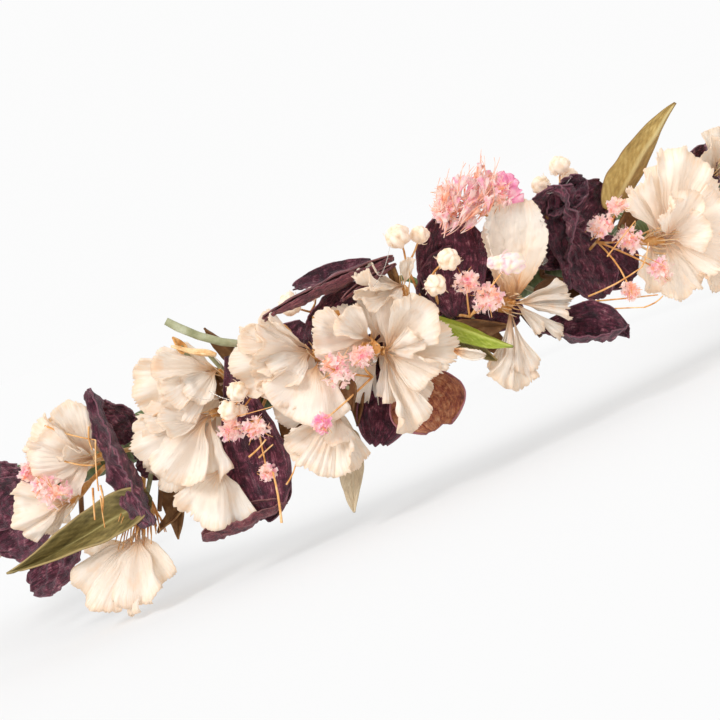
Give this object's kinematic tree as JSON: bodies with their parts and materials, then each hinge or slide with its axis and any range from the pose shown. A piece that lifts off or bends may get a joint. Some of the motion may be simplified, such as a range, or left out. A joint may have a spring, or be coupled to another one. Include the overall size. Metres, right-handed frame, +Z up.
{
  "type": "dried flower crown",
  "caption": "Open ring worn on the head: a taped wire carrying dried cream, pink and burgundy flowers and leaves, with an eye at each end for a tie ribbon.",
  "frame": {"origin": "centre of the head ring, in the plane of the base wire", "axes": "+Z up as worn, -Y to the front of the crown over the forehead, +Y to the open back where the ribbon eyes are, +X to the right in a front view"},
  "size_m": [0.2248, 0.215, 0.0551],
  "materials": {
    "paper_covered_wire": "matte green paper on steel wire",
    "floral_tape": "crepe, waxed, matte",
    "dried_stem": "dry, matte, ribbed",
    "cream_petal": "dry, papery, thin enough to glow",
    "burgundy_petal": "dry, crumpled, soft sheen",
    "pink_floret": "dry, papery, fluffy",
    "cream_bud": "dry, matte",
    "clear_glue": "clear, smooth, set hot glue",
    "olive_leaf": "dry leaf, matte, veined",
    "brown_leaf": "dry leaf, matte, crumpled"
  },
  "bodies": {
    "root": {"base_wire": "paper_covered_wire", "brown_leaves": "brown_leaf", "bud_sprig_1": "cream_bud", "bud_sprig_2": "cream_bud", "bud_sprig_3": "cream_bud", "bud_sprig_4": "cream_bud", "bud_sprig_5": "cream_bud", "bud_sprigs_sides": "cream_bud", "burgundy_petal_01": "burgundy_petal", "burgundy_petal_02": "burgundy_petal", "burgundy_petal_03": "burgundy_petal", "burgundy_petal_04": "burgundy_petal", "burgundy_petal_05": "burgundy_petal", "burgundy_petal_06": "burgundy_petal", "burgundy_petal_07": "burgundy_petal", "burgundy_petal_08": "burgundy_petal", "burgundy_petal_09": "burgundy_petal", "burgundy_petal_10": "burgundy_petal", "burgundy_petal_11": "burgundy_petal", "burgundy_petal_12": "burgundy_petal", "burgundy_petal_13": "burgundy_petal", "burgundy_petals_sides": "burgundy_petal", "cream_flower_01": "cream_petal", "cream_flower_02": "cream_petal", "cream_flower_03": "cream_petal", "cream_flower_04": "cream_petal", "cream_flower_05": "cream_petal", "cream_flower_06": "cream_petal", "cream_flower_07": "cream_petal", "cream_flower_08": "cream_petal", "cream_flower_09": "cream_petal", "cream_flower_10": "cream_petal", "cream_flower_11": "cream_petal", "cream_flower_12": "cream_petal", "cream_flower_13": "cream_petal", "cream_flower_14": "cream_petal", "cream_flower_15": "cream_petal", "cream_flowers_sides": "cream_petal", "floral_tape_front": "floral_tape", "floral_tape_tails": "floral_tape", "glue_drops": "clear_glue", "green_stalk": "dried_stem", "olive_leaf_1": "olive_leaf", "olive_leaf_2": "olive_leaf", "olive_leaf_3": "olive_leaf", "olive_leaf_4": "olive_leaf", "olive_leaves_sides": "olive_leaf", "pink_sprig_1": "pink_floret", "pink_sprig_2": "pink_floret", "pink_sprig_3": "pink_floret", "pink_sprig_4": "pink_floret", "pink_sprig_5": "pink_floret", "pink_sprig_6": "pink_floret", "pink_sprigs_sides": "pink_floret", "ribbon_eye_left": "paper_covered_wire", "ribbon_eye_right": "paper_covered_wire", "stem_bundle": "dried_stem"}
  },
  "joints": []
}
